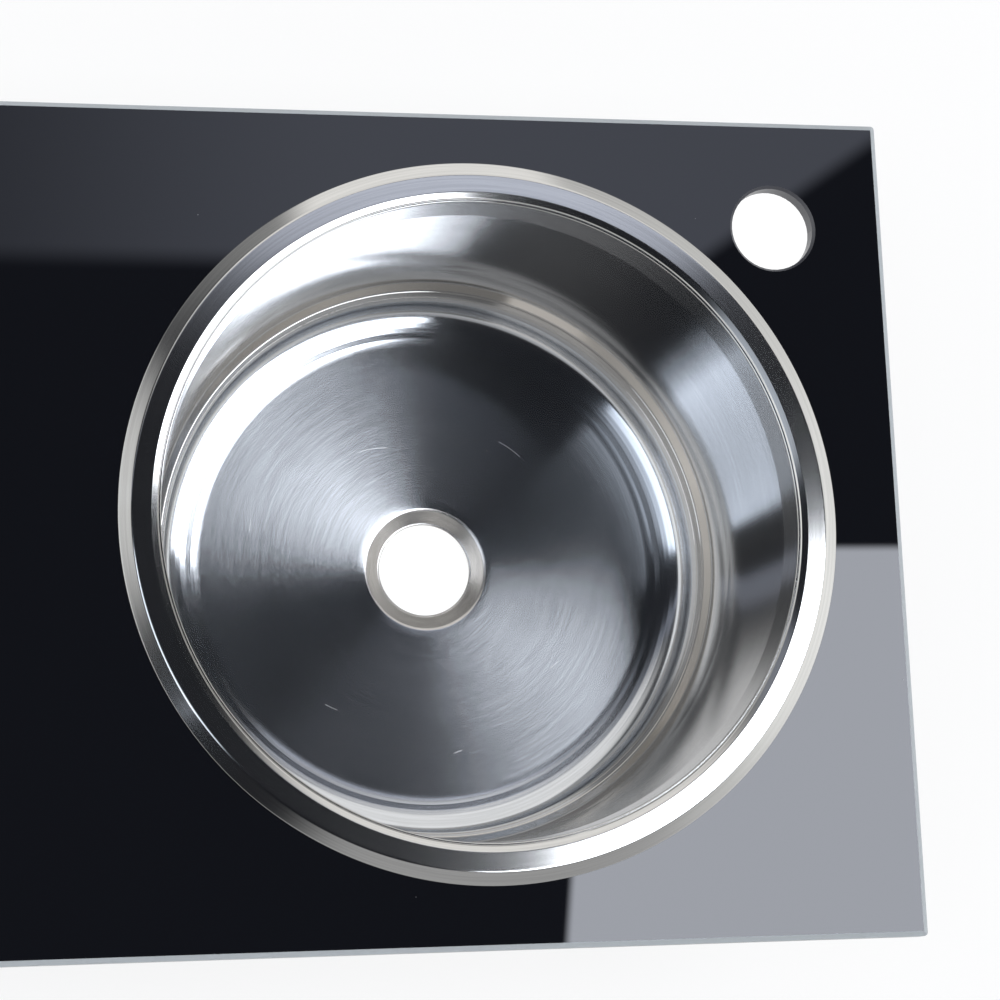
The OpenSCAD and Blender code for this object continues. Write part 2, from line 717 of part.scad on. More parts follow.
// Ceramic spark plug in the cup's ear, wire tip beside the flame ports
module electrode(large) {
    body_top_z = rim_z - 4;
    tip_z = head_top_z - 4.5;
    color([0.93, 0.92, 0.88]) at_burner(large) translate([each pin_at(large, spark_angle), 0]) {
        translate([0, 0, ear_z - 9]) cylinder(h = body_top_z - ear_z + 9, r = pin_r, $fn = 32);
        translate([0, 0, ear_z - 2]) cylinder(h = 2, r = pin_r + 1.4, $fn = 32);
        translate([0, 0, body_top_z - eps]) cylinder(h = tip_z - body_top_z, r = 0.9, $fn = 24);
        translate([0, 0, tip_z]) sphere(0.9, $fn = 24);
        translate([0, 0, spark_bottom_z]) cylinder(h = 5, r = 1.5, $fn = 24);
    }
}

module electrode_large() {
    electrode(true);
}

module electrode_small() {
    electrode(false);
}

// Flame sensor in the cup's other ear, held by a nut under it
module thermocouple(large) {
    tip_z = head_top_z - 8;
    color([0.75, 0.66, 0.5]) at_burner(large) translate([each pin_at(large, probe_angle), 0]) {
        translate([0, 0, probe_bottom_z]) cylinder(h = tip_z - probe_bottom_z, r = pin_r, $fn = 32);
        translate([0, 0, tip_z]) sphere(pin_r, $fn = 32);
        translate([0, 0, ear_z - 4]) cylinder(h = 4, r = 4.4, $fn = 6);
    }
}

module thermocouple_large() {
    thermocouple(true);
}

module thermocouple_small() {
    thermocouple(false);
}

// Cast flame spreader: mixing tube, locating skirt and a ring wall cut by open-topped ports
module burner_head(large) {
    r = head_r(large);
    n = large ? large_ports : small_ports;
    skirt_r = cup_r(large) - cup_wall - fit;
    wall = 5;
    plate = 3.5;
    color([0.6, 0.6, 0.59]) at_burner(large) translate([0, 0, rim_z]) difference() {
        rotate_extrude() polygon([[9.5, -10], [11.5, -10], [11.5, 0], [skirt_r - 2, 0], [skirt_r - 2, -7],
            [skirt_r, -7], [skirt_r, 0], [r - 2, 0], [r, 2], [r, head_h], [r - wall, head_h],
            [r - wall, plate], [14, plate], [11.5, plate + 3], [9.5, plate + 3]]);
        for (i = [0:n - 1]) {
            rotate([0, 0, i * 360 / n]) translate([r - wall - 1, -port_w / 2, head_h - port_h])
                cube([wall + 2, port_w, port_h + 1]);
            rotate([0, 0, (i + 0.5) * 360 / n]) translate([r - wall - 1, -port_w / 4, head_h - port_h * 0.4])
                cube([wall + 2, port_w / 2, port_h]);
        }
        translate([0, 0, head_h - port_h - 2]) rotate_extrude() translate([r - 0.8, 0]) square([2, 0.9]);
    }
}

module burner_head_large() {
    burner_head(true);
}

module burner_head_small() {
    burner_head(false);
}

// Enamelled cap with a crowned top and a locating ring inside the head's wall
module burner_cap(large) {
    r = head_r(large) + 0.6;
    ring_r = head_r(large) - 5 - fit;
    top = rounded_line([[r, 0, 0], [r, cap_h * 0.62, 2.2], [r * 0.45, cap_h, 40], [0, cap_h, 0]], 6);
    color([0.1, 0.1, 0.11]) at_burner(large) translate([0, 0, head_top_z]) rotate_extrude()
        polygon(concat([[0, 0], [ring_r - 2, 0], [ring_r - 2, -2.4], [ring_r, -2.4], [ring_r, 0]], top));
}

module burner_cap_large() {
    burner_cap(true);
}

module burner_cap_small() {
    burner_cap(false);
}

// Side view of one finger, from its root on the frame to its tip over the burner
module finger(root, tip) {
    low = foot_h + 10;
    translate([0, bar_w / 2, deck_z]) rotate([90, 0, 0]) linear_extrude(bar_w)
        polygon(rounded_line([[root, low, 0], [root, pan_plane_h - 9, 0], [root - 9, pan_plane_h, 7],
            [tip + 1.5, pan_plane_h, 1.5], [tip, pan_plane_h - 8, 1.5], [root - 22, pan_plane_h - 13, 14],
            [root - bar_w - 2, low, 4], [root - bar_w, low, 0]], 4));
}

function support_w(large) = large ? large_support_w : small_support_w;
function leg_points(large) = [for (x = [-1, 1], y = [-1, 1])
    [x * (support_w(large) / 2 - 9), y * (support_d / 2 - 9)]];

// Square frame on four legs with a finger from the middle of each side
module pan_support(large) {
    w = support_w(large);
    tip = head_r(large) + tip_gap;
    bar_h = 9;
    color([0.09, 0.09, 0.1]) at_burner(large) {
        translate([0, 0, deck_z + foot_h + 10]) linear_extrude(bar_h) frame_rect(w, support_d, 14, bar_w);
        for (s = [0, 180]) {
            rotate([0, 0, s]) finger(w / 2, tip);
            rotate([0, 0, s + 90]) finger(support_d / 2, tip);
        }
        for (p = leg_points(large)) {
            translate([each p, deck_z + foot_h]) cylinder(h = 10 + bar_h - 1, r1 = 4.5, r2 = 5.5, $fn = 40);
            translate([each p, deck_z + foot_h - 2.5]) cylinder(h = 3, r = 2.4, $fn = 32);
        }
    }
}

module pan_support_large() {
    pan_support(true);
}

module pan_support_small() {
    pan_support(false);
}

module support_feet(large) {
    color([0.05, 0.05, 0.05]) at_burner(large) {
        for (p = leg_points(large)) {
            translate([each p, deck_z]) difference() {
                cylinder(h = foot_h, r1 = 5.4, r2 = 4.8, $fn = 40);
                translate([0, 0, foot_h - 2.6]) cylinder(h = 4, r = 2.45, $fn = 32);
            }
        }
    }
}

module support_feet_large() {
    support_feet(true);
}

module support_feet_small() {
    support_feet(false);
}

// Closed supply tube with a flat-topped boss under each valve and a threaded end for the inlet
module gas_rail() {
    color([0.74, 0.75, 0.77]) {
        translate([rail_x0, knob_y, rail_z]) rotate([0, 90, 0])
            cylinder(h = rail_x1 - rail_x0, r = rail_d / 2);
        translate([rail_x1 - eps, knob_y, rail_z]) rotate([0, 90, 0]) cylinder(h = 8, r = inlet_d / 2 + 1);
        both() {
            at_knob($large) translate([0, 0, rail_z]) cylinder(h = rail_d / 2 + boss_h, r = 6.5, $fn = 48);
        }
    }
}

// Cradles on the casing floor that carry the rail
module rail_brackets() {
    w = 12;
    h = rail_z - floor_z;
    color([0.66, 0.67, 0.7]) for (x = [large_x + 45, small_x - 45]) {
        translate([x, knob_y, floor_z]) difference() {
            translate([-w / 2, -rail_d / 2 - 3, 0]) cube([w, rail_d + 6, h]);
            translate([0, 0, h]) rotate([0, 90, 0])
                cylinder(h = w + 2, r = rail_d / 2 + 0.05, center = true);
        }
    }
}

// Bends that end just above the casing floor, and a collar that seats under it
inlet_bend = rail_z - floor_z - 1;
inlet_collar_h = 2;
inlet_line = [[rail_x1 + 8, knob_y, rail_z], [inlet_x, knob_y, rail_z], [inlet_x, inlet_y, rail_z],
    [inlet_x, inlet_y, floor_z - casing_t - inlet_stub]];

// Supply pipe from the rail to the stub below the casing
module inlet_pipe() {
    color([0.78, 0.6, 0.42]) difference() {
        union() {
            square_bent_pipe(concat([inlet_line[0] + [0.2, 0, 0]], [for (i = [1:3]) inlet_line[i]]),
                inlet_d / 2, inlet_bend);
            translate([inlet_x, inlet_y, floor_z - casing_t - inlet_collar_h])
                cylinder(h = inlet_collar_h, r = inlet_d / 2 + 3.5, $fn = 48);
        }
        translate(inlet_line[3] - [0, 0, 1]) cylinder(h = inlet_stub / 2 + 1, r = inlet_d / 2 - 1, $fn = 32);
    }
}

module hex_nut(len, hole_r) {
    difference() {
        cylinder(h = len, r = nut_af / 2 / cos(30), $fn = 6);
        translate([0, 0, -1]) cylinder(h = len + 2, r = hole_r, $fn = 40);
    }
}

// Coupling nut round the joint of rail and inlet pipe
module inlet_nut() {
    color([0.8, 0.63, 0.3]) translate([rail_x1 + 1, knob_y, rail_z]) rotate([0, 90, 0]) difference() {
        cylinder(h = 14, r = inlet_d / 2 + 4, $fn = 6);
        translate([0, 0, -1]) cylinder(h = 8.1, r = inlet_d / 2 + 1.05, $fn = 40);
        translate([0, 0, 1]) cylinder(h = 15, r = inlet_d / 2 + 0.05, $fn = 40);
    }
}

// Gas tap: block with the stem's bore, outlet boss to the burner, flame-sensor magnet housing at the side
module valve(large) {
    color([0.7, 0.7, 0.69]) at_knob(large) difference() {
        union() {
            translate([0, 0, valve_bot_z]) linear_extrude(valve_h) rounded_rect(valve_w, valve_w, 3);
            translate([0, valve_w / 2 - 1, outlet_z]) rotate([-90, 0, 0])
                cylinder(h = outlet_len + 1, r = 5, $fn = 40);
            translate([valve_w / 2 - 1, 0, magnet_z]) rotate([0, 90, 0])
                cylinder(h = magnet_len + 1, r = 7, $fn = 40);
        }
        translate([0, 0, valve_top_z - stem_depth - push_travel]) cylinder(h = 40, r = stem_d / 2 + run_fit);
        translate([0, 0, valve_top_z - stem_depth - pin_len - push_travel])
            cylinder(h = 30, r = stem_d / 4 + run_fit, $fn = 40);
        for (s = [-1, 1]) {
            translate([s * bonnet_screw_x, s * bonnet_screw_x, valve_top_z - 6])
                cylinder(h = 10, r = 1.3, $fn = 24);
        }
    }
}

module valve_large() {
    valve(true);
}

module valve_small() {
    valve(false);
}

module valve_bonnets() {
    color([0.8, 0.8, 0.8]) both() {
        at_knob($large) translate([0, 0, valve_top_z]) difference() {
            linear_extrude(bonnet_t) rounded_rect(valve_w, valve_w, 4);
            translate([0, 0, -1]) cylinder(h = 5, r = stem_d / 2 + 0.3);
            for (s = [-1, 1]) {
                translate([s * bonnet_screw_x, s * bonnet_screw_x, -1]) cylinder(h = 5, r = 1.4, $fn = 24);
            }
        }
    }
}

module bonnet_screws() {
    color([0.75, 0.75, 0.76]) both() {
        for (s = [-1, 1]) {
            at_knob($large) translate([s * bonnet_screw_x, s * bonnet_screw_x, bonnet_top_z]) screw(6, 1.2);
        }
    }
}

// Route of a feed pipe from the valve's outlet to the side port of the cup
function feed_line(large) = let (x = place_x(large), y0 = knob_y + valve_w / 2 + outlet_len,
    y1 = burner_y - port_reach)
    [[x, y0, outlet_z], [x, y0 + 22, outlet_z], [x, y1 - 26, port_z], [x, y1, port_z]];

module feed_pipe(large) {
    color([0.8, 0.8, 0.8]) swept_tube(feed_line(large), feed_d / 2, 16, 12);
}

module feed_pipe_large() {
    feed_pipe(true);
}

module feed_pipe_small() {
    feed_pipe(false);
}

// Union nuts at both ends of each feed pipe, against the outlet and the port
module pipe_nuts() {
    color([0.8, 0.63, 0.3]) both() {
        line = feed_line($large);
        translate(line[0]) rotate([-90, 0, 0]) hex_nut(9, feed_d / 2 + 0.05);
        translate(line[3]) rotate([90, 0, 0]) hex_nut(9, feed_d / 2 + 0.05);
    }
}

// Pin under the stem that opens the flame-failure magnet
module push_pin(large) {
    z = valve_top_z - stem_depth;
    color([0.78, 0.78, 0.78]) at_knob(large) translate([0, 0, z - pin_len + eps])
        cylinder(h = pin_len - eps, r = stem_d / 4, $fn = 40);
}

module push_pin_large() {
    push_pin(true);
}

module push_pin_small() {
    push_pin(false);
}

// Wire spring between bonnet and stem collar: a helix whose ends are closed flat rings
spring_r = stem_d / 2 + spring_wire / 2 + 0.6;
spring_turns = 4;
module return_spring(large) {
    steps = 18;
    total = spring_turns * steps;
    r = spring_wire / 2;
    rise = spring_len - spring_wire;
    ring = [for (i = [0:total]) for (j = [0:5])
        let (a = 360 * i / steps, f = min(1, max(0, (i / total - 0.1) / 0.8)), b = 60 * j,
            q = spring_r + r * cos(b))
        [q * cos(a), q * sin(a), r + rise * f + r * sin(b) * 0.999]];
    faces = concat([[for (j = [0:5]) j]], [[for (j = [5:-1:0]) total * 6 + j]],
        [for (i = [0:total - 1]) for (j = [0:5]) for (k = [0, 1])
            let (a = i * 6 + j, b = i * 6 + (j + 1) % 6) k == 0 ? [a, a + 6, b] : [b, a + 6, b + 6]]);
    color([0.6, 0.6, 0.62]) at_knob(large) translate([0, 0, bonnet_top_z])
        polyhedron(points = ring, faces = faces, convexity = 8);
}

module return_spring_large() {
    return_spring(true);
}

module return_spring_small() {
    return_spring(false);
}

// Knob stem with a collar under the glass and a flat where the knob sits
module stem(large) {
    z0 = valve_top_z - stem_depth;
    z1 = knob_z + knob_h - 6;
    color([0.76, 0.76, 0.77]) at_knob(large) difference() {
        union() {
            translate([0, 0, z0]) cylinder(h = z1 - z0, r = stem_d / 2);
            translate([0, 0, collar_z]) cylinder(h = collar_h, r = collar_r);
        }
        translate([stem_d / 2 - 1.5, -stem_d, knob_z]) cube([stem_d, 2 * stem_d, knob_h]);
    }
}

module stem_large() {
    stem(true);
}

module stem_small() {
    stem(false);
}

// Turned knob with a skirt, a grip bar across the top and a pointer groove
module knob(large) {
    r = knob_d / 2;
    body = rounded_line([[r * 0.86, 3.4, 0], [r * 0.8, knob_h - 6, 2], [0, knob_h - 6, 0]], 5);
    color([0.08, 0.08, 0.09]) at_knob(large) translate([0, 0, knob_z]) difference() {
        union() {
            rotate_extrude() polygon(concat([[0, 0], [r - 0.6, 0], [r, 0.6], [r, 2.2], [r - 1, 3.4]], body));
            intersection() {
                translate([0, 0, knob_h / 2]) cube([2 * r, r * 0.46, knob_h], center = true);
                rotate_extrude() polygon(rounded_line([[0, 1, 0], [r * 0.9, 1, 0], [r * 0.9, knob_h, 3.5],
                    [0, knob_h, 0]], 5));
            }
        }
        difference() {
            translate([0, 0, -1]) cylinder(h = knob_h - 6 + 1.1, r = stem_d / 2 + 0.05);
            translate([stem_d / 2 - 1.4, -stem_d, -2]) cube([stem_d, 2 * stem_d, knob_h]);
        }
        translate([-0.7, r * 0.35, knob_h - 0.8]) cube([1.4, r, 2]);
    }
}

module knob_large() {
    knob(true);
}

module knob_small() {
    knob(false);
}

// Rubber sleeve that seals the stem's hole in the glass
module stem_grommet(large) {
    color([0.06, 0.06, 0.06]) at_knob(large) difference() {
        union() {
            translate([0, 0, seal_t + 1]) cylinder(h = glass_t - 1, r = stem_hole_r);
            translate([0, 0, deck_z])
                cylinder(h = grommet_lip, r1 = stem_hole_r + 2.6, r2 = stem_hole_r + 1.8);
        }
        translate([0, 0, seal_t]) cylinder(h = glass_t - 1, r = grommet_r);
        translate([0, 0, seal_t]) cylinder(h = glass_t + 4, r = stem_d / 2 + 0.4);
    }
}

module stem_grommet_large() {
    stem_grommet(true);
}

module stem_grommet_small() {
    stem_grommet(false);
}

// Spark generator on the casing floor with two screw ears and four plug-in sockets
module ignition_module() {
    color([0.16, 0.16, 0.18]) difference() {
        union() {
            translate([module_x, module_y, floor_z]) linear_extrude(module_h)
                rounded_rect(module_w, module_d, 3);
            for (p = module_points) {
                translate([p[0], p[1], floor_z]) cylinder(h = module_ear_t, r = module_ear_r, $fn = 40);
            }
            translate([module_x, module_y, floor_z + module_ear_t / 2])
                cube([module_w + 2 * module_ear_r, 1.8 * module_ear_r, module_ear_t], center = true);
            for (i = [-1.5:1:1.5]) {
                translate([module_x + i * socket_pitch, module_y + socket_y, floor_z + module_h - eps])
                    cylinder(h = socket_h, r = 3.2, $fn = 32);
            }
        }
        for (p = module_points) {
            translate([p[0], p[1], floor_z - 1]) cylinder(h = 5, r = screw_r + 0.1, $fn = 24);
        }
    }
}

module module_screws() {
    color([0.75, 0.75, 0.76]) for (p = module_points) {
        translate([p[0], p[1], floor_z + module_ear_t]) screw(module_ear_t + casing_t + 1.5, screw_r - 0.1);
    }
}

socket_z = floor_z + module_h + socket_h - eps;

// High-tension leads from the module's outer sockets to the spark plugs
module ignition_leads() {
    color([0.85, 0.83, 0.78]) both() {
        s = $large ? -1 : 1;
        pin = pin_at($large, spark_angle);
        a = [module_x + s * 1.5 * socket_pitch, module_y + socket_y, socket_z];
        b = [place_x($large) + pin[0], burner_y + pin[1], spark_bottom_z];
        swept_tube([a, a + [0, 0, 6], [b[0], b[1], a[2] - 2], b], 1.25, 2.5);
    }
}

// Thin sensor tubes from the flame sensors to the magnet housings
module thermocouple_leads() {
    color([0.75, 0.5, 0.35]) both() {
        pin = pin_at($large, probe_angle);
        a = [place_x($large) + pin[0], burner_y + pin[1], probe_bottom_z];
        low = socket_z - 6;
        b = [place_x($large) + valve_w / 2 + magnet_len, knob_y, magnet_z];
        side = place_x($large) + bridge_span / 2 + 8;
        swept_tube([a, [a[0], a[1], low], [side, a[1], low], [side, knob_y, b[2]], b], 1, 4);
    }
}

glass_top();
edge_seal();
sink_bowl();
sink_gasket();
hob_casing();
casing_bond();
worktop_clamps();
clamp_screws();
bridge_large();
bridge_small();
bridge_rivets();
burner_cup_large();
burner_cup_small();
cup_screws();
injector_large();
injector_small();
drip_ring_large();
drip_ring_small();
electrode_large();
electrode_small();
thermocouple_large();
thermocouple_small();
burner_head_large();
burner_head_small();
burner_cap_large();
burner_cap_small();
pan_support_large();
pan_support_small();
support_feet_large();
support_feet_small();
gas_rail();
rail_brackets();
inlet_pipe();
inlet_nut();
valve_large();
valve_small();
valve_bonnets();
bonnet_screws();
feed_pipe_large();
feed_pipe_small();
pipe_nuts();
push_pin_large();
push_pin_small();
return_spring_large();
return_spring_small();
stem_large();
stem_small();
knob_large();
knob_small();
stem_grommet_large();
stem_grommet_small();
ignition_module();
module_screws();
ignition_leads();
thermocouple_leads();
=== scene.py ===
"""Looks of the hob and sink combination unit: the spun bowl, a finish for every piece and a pale studio."""
import json
import math

import bmesh
import bpy
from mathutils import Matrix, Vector


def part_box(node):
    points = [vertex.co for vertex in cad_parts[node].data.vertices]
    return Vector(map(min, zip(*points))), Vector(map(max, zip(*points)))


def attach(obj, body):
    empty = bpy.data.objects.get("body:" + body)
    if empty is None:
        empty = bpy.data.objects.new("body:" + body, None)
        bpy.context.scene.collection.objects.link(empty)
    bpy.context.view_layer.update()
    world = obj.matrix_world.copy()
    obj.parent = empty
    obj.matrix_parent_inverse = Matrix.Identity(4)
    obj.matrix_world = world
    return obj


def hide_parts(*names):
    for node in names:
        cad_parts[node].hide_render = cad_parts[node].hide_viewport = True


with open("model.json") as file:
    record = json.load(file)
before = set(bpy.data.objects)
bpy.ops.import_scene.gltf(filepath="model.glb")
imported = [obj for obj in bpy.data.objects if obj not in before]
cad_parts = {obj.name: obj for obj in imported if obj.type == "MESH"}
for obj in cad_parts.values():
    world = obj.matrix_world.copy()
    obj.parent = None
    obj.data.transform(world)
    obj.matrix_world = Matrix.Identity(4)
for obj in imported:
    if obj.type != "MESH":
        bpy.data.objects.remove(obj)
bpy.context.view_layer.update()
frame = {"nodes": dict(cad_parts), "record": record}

MM = 0.001

# The deck is the top face of the glass. The bowl's axis is that of the part.
_, GLASS_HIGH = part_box("glass_top")
BOWL_LOW, BOWL_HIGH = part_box("sink_bowl")
DECK_Z = GLASS_HIGH.z
BOWL_X = (BOWL_LOW.x + BOWL_HIGH.x) / 2
BOWL_Y = (BOWL_LOW.y + BOWL_HIGH.y) / 2


def add(tree, kind, inputs=None, **settings):
    """A shader node with its settings. Each input is a plain value or another node's output."""
    made = tree.nodes.new(kind)
    for name, value in settings.items():
        setattr(made, name, value)
    for name, value in (inputs or {}).items():
        if isinstance(value, bpy.types.NodeSocket):
            tree.links.new(value, made.inputs[name])
        else:
            made.inputs[name].default_value = value
    return made


def calc(tree, operation, *values):
    """The result of a Math node on plain values or outputs."""
    return add(tree, "ShaderNodeMath", dict(enumerate(values)), operation=operation).outputs[0]


def vector_calc(tree, operation, *vectors):
    """The Vector Math node on plain vectors or outputs."""
    return add(tree, "ShaderNodeVectorMath", dict(enumerate(vectors)), operation=operation)


def fade(tree, value, low, high, start=0.0, end=1.0):
    """A smooth step of value, from start at low to end at high."""
    made = add(tree, "ShaderNodeMapRange", {"Value": value, "From Min": low, "From Max": high,
                                            "To Min": start, "To Max": end},
               interpolation_type="SMOOTHSTEP")
    return made.outputs["Result"]


def tint(tree, factor, first, second):
    """A mix of two colours."""
    return add(tree, "ShaderNodeMix", {0: factor, 6: first, 7: second}, data_type="RGBA").outputs[2]


def grain(tree, place, scale, detail):
    """A noise between 0 and 1."""
    made = add(tree, "ShaderNodeTexNoise", {"Vector": place, "Scale": scale, "Detail": detail})
    return made.outputs["Fac"]


def specks(tree, place, scale, size, strength):
    """Small round spots, one to each cell of the scale, that fade from strength to zero over size."""
    cells = add(tree, "ShaderNodeTexVoronoi", {"Vector": place, "Scale": scale}).outputs["Distance"]
    return fade(tree, cells, *size, strength, 0.0)


def centred(tree, noise):
    """A noise moved to the range from -0.5 to 0.5."""
    return calc(tree, "SUBTRACT", noise, 0.5)


def joined(tree, x, y, z):
    """A vector of three plain values or outputs."""
    return add(tree, "ShaderNodeCombineXYZ", {0: x, 1: y, 2: z}).outputs[0]


def split(tree, vector):
    """The three parts of a vector."""
    return add(tree, "ShaderNodeSeparateXYZ", {0: vector}).outputs


def object_place(tree):
    """The place on the piece in its own axes."""
    return add(tree, "ShaderNodeTexCoord").outputs["Object"]


def rgba(colour):
    """The colour with full opacity."""
    return (*colour, 1.0)


def link(tree, shader, name, value):
    """Feeds an input of the shader from an output."""
    tree.links.new(value, shader.inputs[name])


def empty_material(name):
    """A node material without nodes."""
    material = bpy.data.materials.new(name)
    material.use_nodes = True
    material.node_tree.nodes.clear()
    return material, material.node_tree


def show(tree, kind, shaded):
    """Sends a shader's result to the output node of its kind."""
    output = add(tree, kind)
    tree.links.new(shaded, output.inputs["Surface"])


def new_material(name):
    """A node material that holds only its principled shader and output."""
    material, tree = empty_material(name)
    shader = add(tree, "ShaderNodeBsdfPrincipled")
    show(tree, "ShaderNodeOutputMaterial", shader.outputs[0])
    return material, tree, shader


# The studio as the direction of light: p and q are x and y over z, so a flat mirror shows it undistorted.
# Each light has its range of p and q, the half width of its soft edge and its colour. A corner and a slope
# give a line that the light ends at. Dim and far give a range of p and the share of light left beyond it.
PANEL = {"p": (0.266, 1.0), "q": (-0.46, 0.177), "edge": 0.002, "light": (5.1, 5.3, 5.65),
         "corner": (0.345, 0.177), "slope": 0.6, "lean": 0.12}
FILL = {"p": (-0.615, 0.02), "q": (-0.335, 0.136), "edge": 0.015, "light": (2.05, 2.25, 2.55),
        "corner": (-0.07, -0.06), "slope": 0.85, "dim": (-0.10, -0.52, 0.25)}
SIDE = {"p": (-9.0, -0.80), "q": (-0.70, 0.90), "edge": 0.05, "light": (0.95, 0.95, 0.94)}
REAR = {"q": (0.278, 0.345), "edge": 0.005, "light": (0.76, 0.81, 0.95), "corner": (0.305, 0.278),
        "slope": 0.67, "dim": (0.02, 0.20, 0.32)}
UPPER = {"corner": (0.10, 0.385), "slope": 0.12, "edge": 0.035, "light": (1.02, 1.0, 0.97),
         "dim": (-0.38, -0.22, 0.03), "far": (0.80, 1.0, 0.45)}
LOWER = {"q": (-0.78, -0.64), "light": (0.42, 0.42, 0.42)}

# Low directions, where z is under these limits, see an outer room and lower still the horizon.
ROOM_LIGHT = (0.012, 0.013, 0.016)
OUTER = {"z": (0.70, 0.84), "light": (0.050, 0.052, 0.057)}
HORIZON = {"z": (0.55, 0.66), "light": (1.15, 1.15, 1.13), "front": 0.22, "sides": 1.0, "focus": 4.0}
LEAST_RISE = 0.02
WHITE = (1.0, 1.0, 1.0)


def window(tree, value, low, high, edge):
    """One between low and high, zero beyond them."""
    inside = fade(tree, value, low - edge, low + edge)
    return calc(tree, "MULTIPLY", inside, fade(tree, value, high - edge, high + edge, 1.0, 0.0))


def pane(tree, p, q, spec):
    """A rectangle whose left and right edges lean by spec."""
    upright = calc(tree, "MULTIPLY_ADD", calc(tree, "SUBTRACT", spec["q"][1], q), spec.get("lean", 0.0), p)
    return calc(tree, "MULTIPLY", window(tree, upright, *spec["p"], spec["edge"]),
                window(tree, q, *spec["q"], spec["edge"]))


def above(tree, p, q, spec):
    """The part of the sky above the leaning line of spec."""
    corner_p, corner_q = spec["corner"]
    line = calc(tree, "MULTIPLY_ADD", calc(tree, "SUBTRACT", p, corner_p), spec["slope"], corner_q)
    return fade(tree, calc(tree, "SUBTRACT", q, line), -spec["edge"], spec["edge"])


def dimmed(tree, p, q, spec):
    """The part above the line of spec, dimmer on one side."""
    low, high, share = spec["dim"]
    return calc(tree, "MULTIPLY", above(tree, p, q, spec), fade(tree, p, low, high, share, 1.0))


def horizon(tree, way):
    """A band low all round, weaker to the front and the back than to the sides."""
    flat = vector_calc(tree, "NORMALIZE", joined(tree, way[0], way[1], 0.0)).outputs[0]
    sideways = calc(tree, "POWER", calc(tree, "ABSOLUTE", split(tree, flat)[0]), HORIZON["focus"])
    share = calc(tree, "MULTIPLY_ADD", sideways, HORIZON["sides"] - HORIZON["front"], HORIZON["front"])
    return calc(tree, "MULTIPLY", fade(tree, way[2], *HORIZON["z"], 1.0, 0.0), share)


def sky(tree, way):
    """The colour of the studio in each direction, every light laid over those before it."""
    rise = calc(tree, "MAXIMUM", way[2], LEAST_RISE)
    p, q = calc(tree, "DIVIDE", way[0], rise), calc(tree, "DIVIDE", way[1], rise)
    far_low, far_high, far_share = UPPER["far"]
    shapes = (
        (OUTER, fade(tree, way[2], *OUTER["z"], 1.0, 0.0)),
        (LOWER, fade(tree, q, *LOWER["q"], 1.0, 0.0)),
        (REAR, calc(tree, "MULTIPLY", dimmed(tree, p, q, REAR), window(tree, q, *REAR["q"], REAR["edge"]))),
        (UPPER, calc(tree, "MULTIPLY", dimmed(tree, p, q, UPPER),
                     fade(tree, p, far_low, far_high, 1.0, far_share))),
        (SIDE, pane(tree, p, q, SIDE)),
        (PANEL, calc(tree, "MULTIPLY", pane(tree, p, q, PANEL),
                     calc(tree, "SUBTRACT", 1.0, above(tree, p, q, PANEL)))),
        (FILL, calc(tree, "MULTIPLY", pane(tree, p, q, FILL), dimmed(tree, p, q, FILL))),
        (HORIZON, horizon(tree, way)),
    )
    colour = rgba(ROOM_LIGHT)
    for spec, shape in shapes:
        colour = tint(tree, shape, colour, rgba(spec["light"]))
    return colour


def studio():
    """A dark room with a large soft panel, a small fill panel, a dim rear wall and a pale horizon."""
    world = bpy.data.worlds.new("Studio")
    bpy.context.scene.world = world
    world.use_nodes = True
    tree = world.node_tree
    tree.nodes.clear()
    way = split(tree, add(tree, "ShaderNodeTexCoord").outputs["Generated"])
    seen = add(tree, "ShaderNodeLightPath").outputs["Is Camera Ray"]
    colour = tint(tree, seen, sky(tree, way), rgba(WHITE))
    show(tree, "ShaderNodeOutputWorld", add(tree, "ShaderNodeBackground", {"Color": colour}).outputs[0])


# Where the floor shows through the waste hole and the tap hole, painted light brings it out of the object's
# shadow up to the brightness round the object: x, y and radius of each spot of painted light, and the shares
# of the radius between which it fades.
PAINTED_LIGHT_SPOTS = [(BOWL_X, BOWL_Y, 0.035), (0.414, 0.170, 0.034)]
SPOT_FADE = (0.6, 1.4)
PAINTED_SPOT_GLOW = 0.12
FLOOR_GLOW = 0.80
FLOOR_PAINT = 0.8
FLOOR_GAP = 0.0012
FLOOR_REACH = 30.0


def floor_glow(tree, place, height):
    """How brightly the floor glows to the eye, with its spots of painted light in the object's shadow."""
    glow = FLOOR_GLOW
    for x, y, radius in PAINTED_LIGHT_SPOTS:
        away = vector_calc(tree, "DISTANCE", place, (x, y, height)).outputs["Value"]
        start, end = (share * radius for share in SPOT_FADE)
        # Painted light: each spot glows brighter to lift the object's shadow there.
        glow = calc(tree, "ADD", glow, fade(tree, away, start, end, PAINTED_SPOT_GLOW, 0.0))
    return glow


def floor_material(height):
    """A floor that glows to the eye and in mirrors, is matt to all other light, and is clear from below."""
    material, tree = empty_material("pale_floor")
    place = add(tree, "ShaderNodeNewGeometry").outputs
    path = add(tree, "ShaderNodeLightPath").outputs
    seen = calc(tree, "MAXIMUM", path["Is Camera Ray"],
                calc(tree, "MAXIMUM", path["Is Glossy Ray"], path["Is Transmission Ray"]))
    shade = add(tree, "ShaderNodeMix", {0: seen, 2: FLOOR_PAINT, 3: 1 - FLOOR_GLOW}, data_type="FLOAT")
    paint = add(tree, "ShaderNodeBsdfDiffuse", {"Color": joined(tree, *[shade.outputs[0]] * 3)})
    glow = calc(tree, "MULTIPLY", seen, floor_glow(tree, place["Position"], height))
    light = add(tree, "ShaderNodeEmission", {"Strength": glow})
    both = add(tree, "ShaderNodeAddShader", {0: paint.outputs[0], 1: light.outputs[0]})
    clear = add(tree, "ShaderNodeBsdfTransparent")
    side = add(tree, "ShaderNodeMixShader", {0: place["Backfacing"], 1: both.outputs[0],
                                             2: clear.outputs[0]})
    show(tree, "ShaderNodeOutputMaterial", side.outputs[0])
    return material


